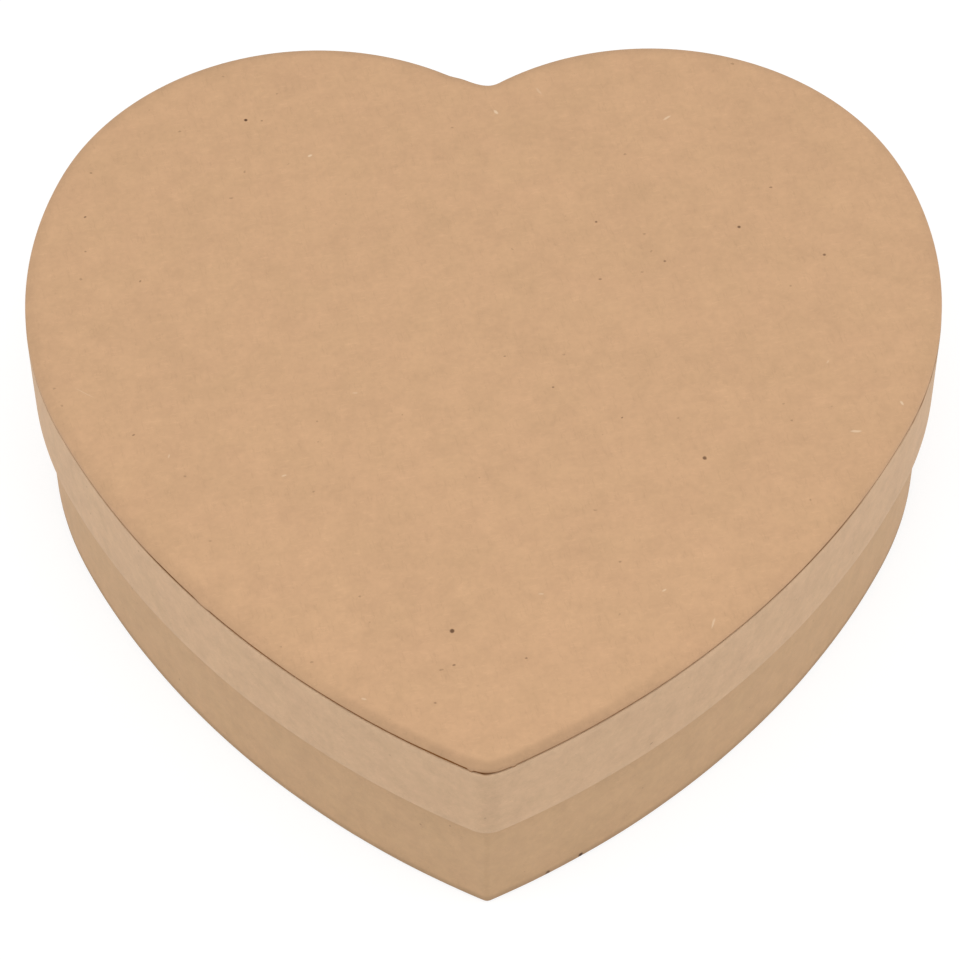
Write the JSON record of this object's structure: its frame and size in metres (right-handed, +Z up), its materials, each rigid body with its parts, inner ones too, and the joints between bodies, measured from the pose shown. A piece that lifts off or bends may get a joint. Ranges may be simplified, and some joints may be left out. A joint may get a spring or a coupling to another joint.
{
  "type": "heart-shaped gift box",
  "caption": "Heart-shaped kraft papier-mache gift box with a lift-off lid whose rim telescopes over the base wall.",
  "frame": {"origin": "on the table, under the middle of the closed box's bounding box", "axes": "+Z up, the way the lid lifts; +Y toward the cleft, so the point of the heart is at -Y; +X to the right seen from the point"},
  "size_m": [0.2, 0.1996, 0.052],
  "materials": {
    "kraft_facing": "matte kraft paper with fine fibres and bark specks",
    "kraft_wrap": "matte kraft paper with fine fibres and bark specks",
    "kraft_lining": "matte kraft paper",
    "paper_tape": "matte gummed paper tape",
    "chipboard": "raw matte chipboard",
    "greyboard": "raw matte greyboard"
  },
  "bodies": {
    "base": {"base_floor_board": "greyboard", "base_bottom_sheet": "kraft_lining", "base_floor_lining": "kraft_lining", "base_wall_board": "chipboard", "base_wall_wrap": "kraft_wrap", "base_wall_lining": "kraft_lining", "base_joint_tape": "paper_tape"},
    "lid": {"lid_top_board": "greyboard", "lid_top_facing": "kraft_facing", "lid_top_lining": "kraft_lining", "lid_rim_board": "chipboard", "lid_rim_wrap": "kraft_wrap", "lid_rim_lining": "kraft_lining", "lid_joint_tape": "paper_tape"}
  },
  "joints": [
    {"name": "lid_lift", "type": "slide", "parent": "base", "child": "lid", "axis": [0, 0, 1], "range_m": [0, 0.08]}
  ]
}
